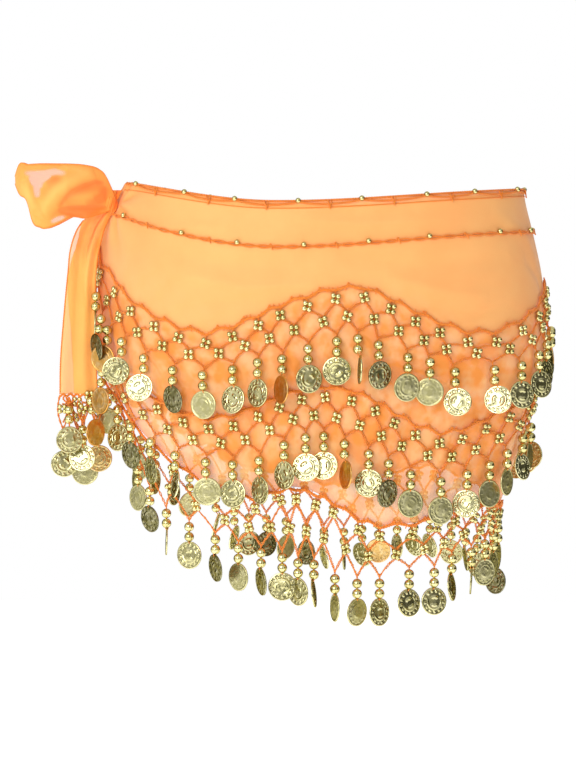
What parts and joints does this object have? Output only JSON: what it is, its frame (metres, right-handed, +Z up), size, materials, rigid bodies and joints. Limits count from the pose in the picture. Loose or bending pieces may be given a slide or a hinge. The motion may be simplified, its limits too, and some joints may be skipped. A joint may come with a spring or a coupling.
{
  "type": "belly dance hip scarf",
  "caption": "Sheer orange hip scarf tied at one hip with a bow loop and tail, with wavy tiers of crochet net and bead and coin drops.",
  "frame": {"origin": "middle of the waist opening, level with the top edge at the middle of the front", "axes": "+Z up, the front of the scarf faces -Y, and the knot is at the wearer's right hip, on the -X side"},
  "size_m": [0.4509, 0.2916, 0.363],
  "materials": {
    "chiffon": "sheer, soft matt",
    "crochet": "twisted thread, matt",
    "gilt": "bright, stamped"
  },
  "bodies": {
    "root": {"wrap_front": "chiffon", "wrap_back": "chiffon", "edge_chain": "crochet", "second_chain": "crochet", "tier1_net_front": "crochet", "tier1_drops_front": "gilt", "tier1_net_back": "crochet", "tier1_drops_back": "gilt", "tier2_net_front": "crochet", "tier2_drops_front": "gilt", "tier2_net_back": "crochet", "tier2_drops_back": "gilt", "tier3_net_front": "crochet", "tier3_drops_front": "gilt", "tier3_net_back": "crochet", "tier3_drops_back": "gilt", "knot": "chiffon", "corner_gather": "chiffon", "bow_loop": "chiffon", "tail": "chiffon", "tail_drops": "gilt"}
  },
  "joints": []
}
